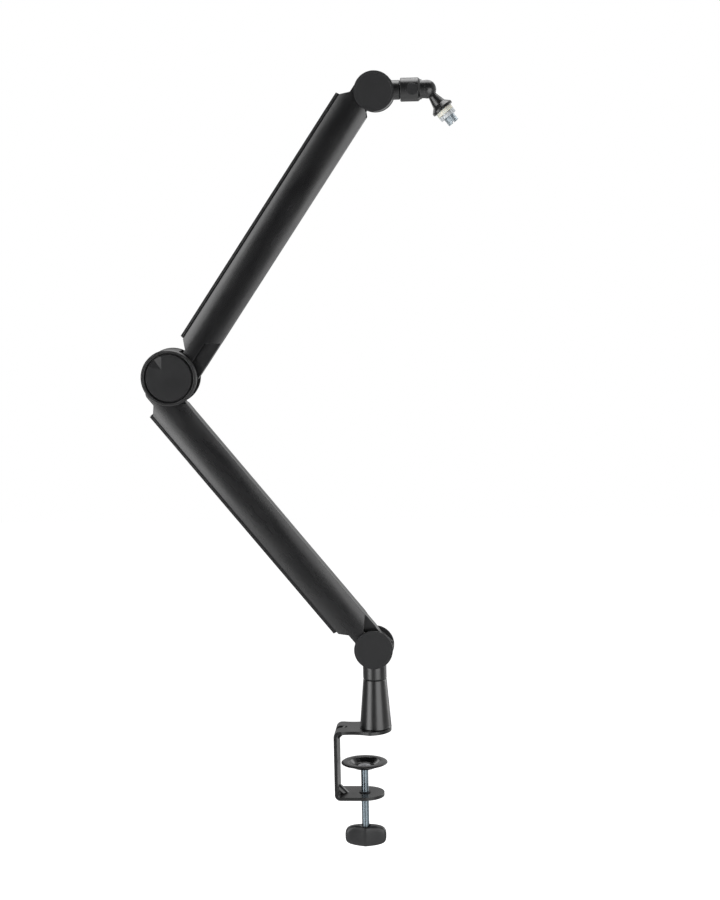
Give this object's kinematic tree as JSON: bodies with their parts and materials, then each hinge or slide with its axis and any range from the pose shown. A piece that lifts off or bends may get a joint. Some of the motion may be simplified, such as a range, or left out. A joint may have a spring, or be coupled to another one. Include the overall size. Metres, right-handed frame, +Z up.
{
  "type": "desktop microphone stand",
  "caption": "Desktop microphone boom stand: a table clamp and turning post carry sprung parallelogram arms and a swivel head with a thread for a microphone.",
  "frame": {"origin": "underside of the upper jaw, which rests on the desk, below the axis of the turning post", "axes": "+Z up along the post, +X to the right along the arms' plane of swing towards the microphone in the pictured pose, +Y away from the viewer"},
  "size_m": [0.4384, 0.065, 1.0753],
  "materials": {
    "black_steel": "satin black powder coat on steel",
    "black_alloy": "semi-gloss black coat on aluminium",
    "black_profile": "satin black anodised extrusion",
    "cap_plastic": "fine textured dark grey plastic",
    "strip_plastic": "matte black ribbed plastic",
    "knob_plastic": "matte dark grey plastic",
    "zinc_steel": "bright zinc plated steel",
    "spring_steel": "oiled spring steel",
    "nylon": "natural cream nylon",
    "dark_nylon": "black nylon"
  },
  "bodies": {
    "clamp": {"clamp_frame": "black_steel", "post": "black_alloy", "post_screws": "zinc_steel", "post_bush": "dark_nylon", "thread_insert": "black_steel"},
    "clamp_cup": {"pressure_cup": "black_steel", "cup_washer": "zinc_steel"},
    "clamp_screw": {"clamp_spindle": "zinc_steel", "wing_knob": "knob_plastic", "knob_pin": "zinc_steel"},
    "turret": {"turret_hub": "black_alloy", "turret_front_cap": "cap_plastic", "turret_rear_cap": "cap_plastic", "turret_retainer": "zinc_steel", "base_pins": "zinc_steel", "base_washers": "nylon"},
    "lower_arm": {"lower_profile": "black_profile", "lower_cable_cover": "strip_plastic", "lower_springs": "spring_steel", "lower_spring_pins": "zinc_steel"},
    "lower_link": {"lower_link_bar": "black_profile", "lower_link_base_end": "black_alloy", "lower_link_elbow_end": "black_alloy"},
    "elbow": {"elbow_hub": "black_alloy", "elbow_ring_plate": "black_alloy", "elbow_pins": "zinc_steel", "elbow_washers": "nylon", "tension_washer": "nylon"},
    "tension": {"tension_knob": "knob_plastic", "tension_stud": "zinc_steel"},
    "upper_arm": {"upper_profile": "black_profile", "upper_cable_cover": "strip_plastic", "upper_springs": "spring_steel", "upper_spring_pins": "zinc_steel"},
    "upper_link": {"upper_link_bar": "black_profile", "upper_link_elbow_end": "black_alloy", "upper_link_tip_end": "black_alloy"},
    "tip": {"tip_hub": "black_alloy", "tip_front_cap": "cap_plastic", "tip_rear_cap": "cap_plastic", "tip_pins": "zinc_steel", "tip_washers": "nylon", "swivel_bolt": "zinc_steel"},
    "swivel": {"swivel_body": "black_alloy", "swivel_button": "cap_plastic", "tilt_pin": "zinc_steel"},
    "connector": {"connector_body": "black_alloy", "connector_stud": "zinc_steel", "nylon_washer": "nylon", "thread_adapter": "zinc_steel"},
    "lock": {"lock_ring": "zinc_steel"}
  },
  "joints": [
    {"name": "base_turn", "type": "hinge", "parent": "clamp", "child": "turret", "pos_m": [0, 0, 0.075], "axis": [0, 0, 1], "continuous": true},
    {"name": "lower_lift", "type": "hinge", "parent": "turret", "child": "lower_arm", "pos_m": [-0.017, 0, 0.131], "axis": [0, 1, 0], "range_deg": [-14, 75]},
    {"name": "lower_link_swing", "type": "hinge", "parent": "turret", "child": "lower_link", "pos_m": [0.0085, 0, 0.131], "axis": [0, 1, 0], "range_deg": [-14, 75]},
    {"name": "elbow_level", "type": "hinge", "parent": "lower_arm", "child": "elbow", "pos_m": [-0.29831, 0, 0.47838], "axis": [0, 1, 0], "range_deg": [-75, 14]},
    {"name": "tension_turn", "type": "hinge", "parent": "elbow", "child": "tension", "pos_m": [-0.27331, 0, 0.50038], "axis": [0, 1, 0], "range_deg": [-180, 180]},
    {"name": "upper_lift", "type": "hinge", "parent": "elbow", "child": "upper_arm", "pos_m": [-0.25431, 0, 0.51738], "axis": [0, 1, 0], "range_deg": [-2.5, 92]},
    {"name": "upper_link_swing", "type": "hinge", "parent": "elbow", "child": "upper_link", "pos_m": [-0.25431, 0, 0.48838], "axis": [0, 1, 0], "range_deg": [-2.5, 92]},
    {"name": "tip_level", "type": "hinge", "parent": "upper_arm", "child": "tip", "pos_m": [0.00323, 0, 0.89491], "axis": [0, 1, 0], "range_deg": [-92, 2.5]},
    {"name": "head_turn", "type": "hinge", "parent": "tip", "child": "swivel", "pos_m": [0.01473, 0, 0.88191], "axis": [1, 0, 0], "continuous": true},
    {"name": "connector_tilt", "type": "hinge", "parent": "swivel", "child": "connector", "pos_m": [0.08543, 0, 0.88191], "axis": [0, 1, 0], "range_deg": [-112, 8]},
    {"name": "lock_ring_turn", "type": "hinge", "parent": "connector", "child": "lock", "pos_m": [0.11233, 0, 0.84748], "axis": [0.6157, 0, -0.788], "continuous": true},
    {"name": "cup_lift", "type": "slide", "parent": "clamp", "child": "clamp_cup", "axis": [0, 0, 1], "range_m": [-0.032, 0.035]},
    {"name": "screw_turn", "type": "hinge", "parent": "clamp_cup", "child": "clamp_screw", "pos_m": [-0.017, 0, -0.12], "axis": [0, 0, 1], "range_deg": [-7683, 8403]}
  ],
  "couplings": [
    {"joint": "lower_link_swing", "follows": "lower_lift", "ratio": 1},
    {"joint": "elbow_level", "follows": "lower_lift", "ratio": -1},
    {"joint": "upper_link_swing", "follows": "upper_lift", "ratio": 1},
    {"joint": "tip_level", "follows": "upper_lift", "ratio": -1},
    {"joint": "screw_turn", "follows": "cup_lift", "rad_per_m": 4188.8}
  ]
}
